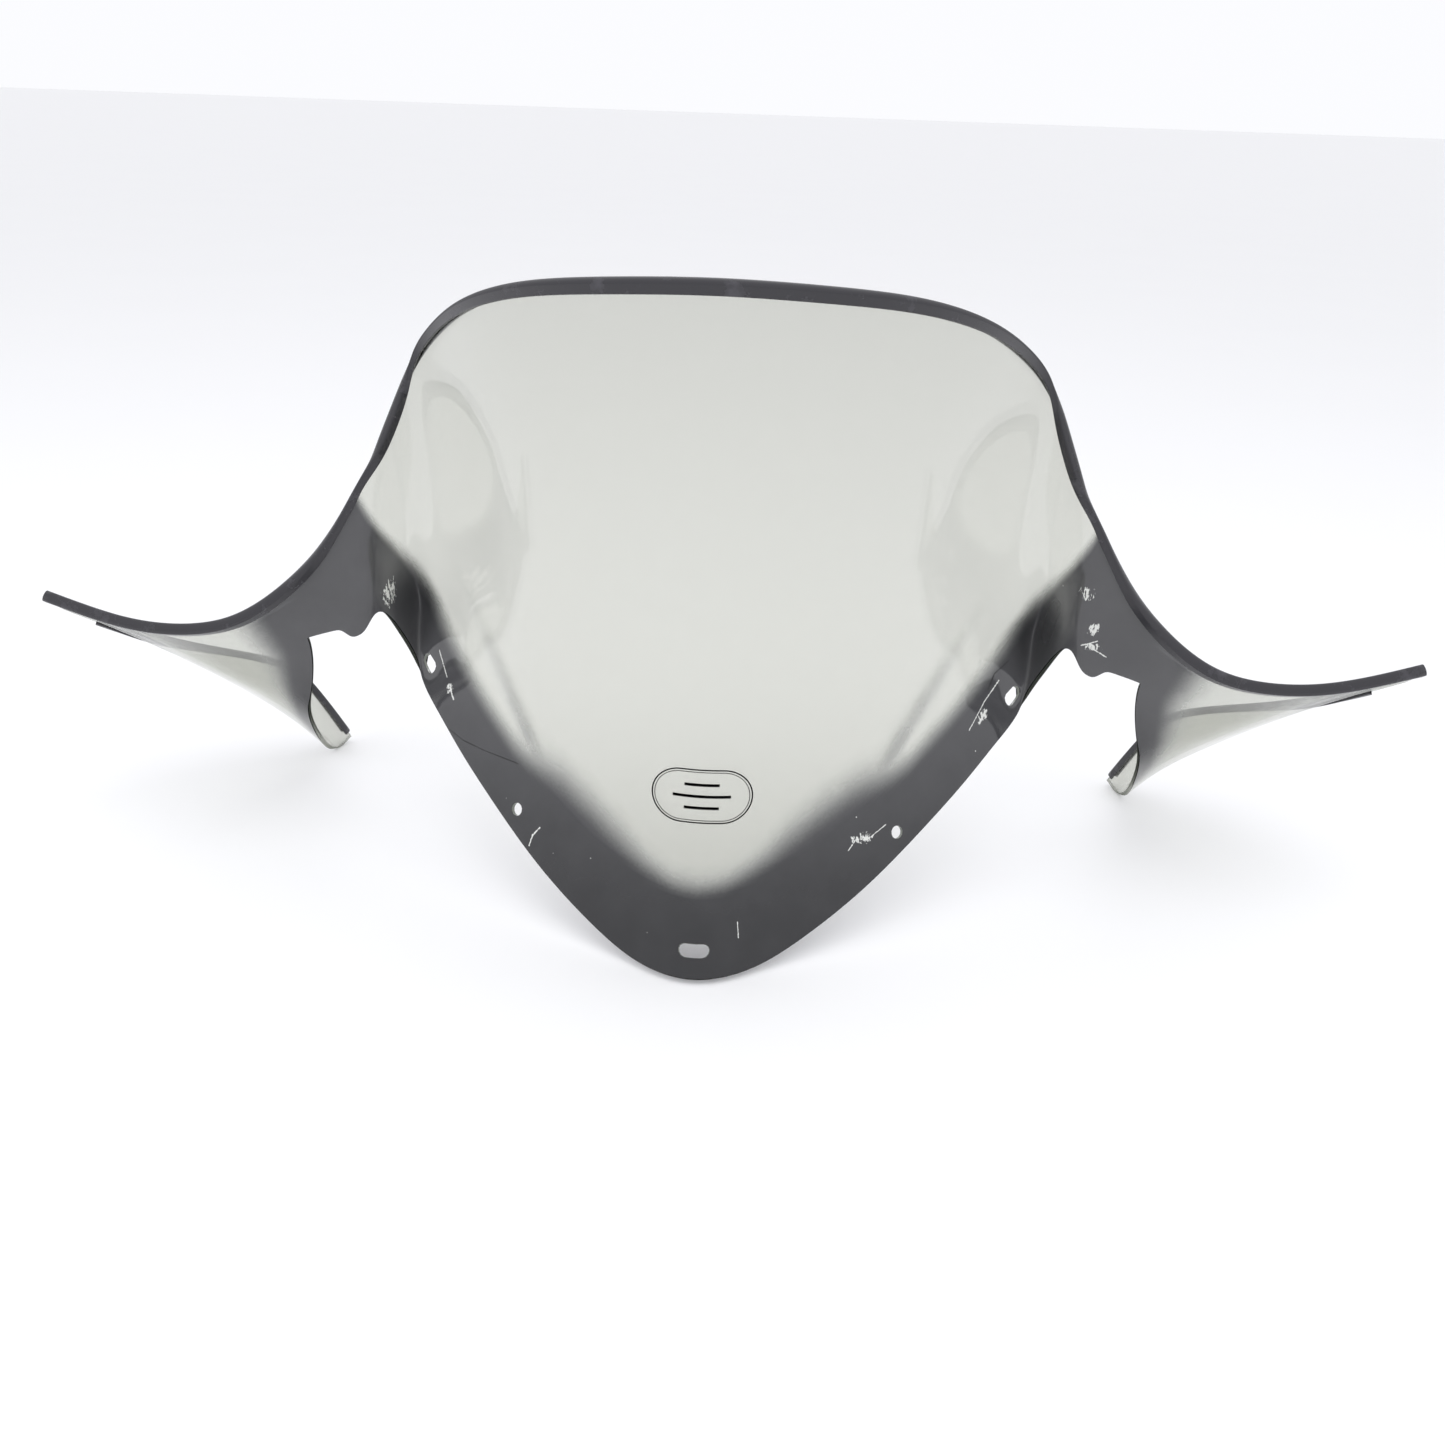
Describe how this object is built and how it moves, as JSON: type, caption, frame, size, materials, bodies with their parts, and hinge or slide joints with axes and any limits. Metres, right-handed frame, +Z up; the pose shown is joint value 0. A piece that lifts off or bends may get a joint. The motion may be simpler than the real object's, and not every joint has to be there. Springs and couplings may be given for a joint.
{
  "type": "windshield screen",
  "caption": "Smoked clear windshield screen: bowed dome with a V shaped mounting flange, two hand deflector wings that fold under, and slip-on edge trims.",
  "frame": {"origin": "on the floor, below the middle of the bounding box, in the plane of symmetry", "axes": "+X along the width to the viewer's right from the front, +Y rearward towards the rider, +Z up as it stands on the hem tip and the two wing heels"},
  "size_m": [0.798, 0.264, 0.3527],
  "materials": {
    "smoked_sheet": "gloss",
    "edge_trim": "gloss",
    "emblem_film": "satin"
  },
  "bodies": {
    "root": {"screen": "smoked_sheet", "top_edge_trim": "edge_trim", "left_wing_trim": "edge_trim", "right_wing_trim": "edge_trim", "emblem": "emblem_film"}
  },
  "joints": []
}
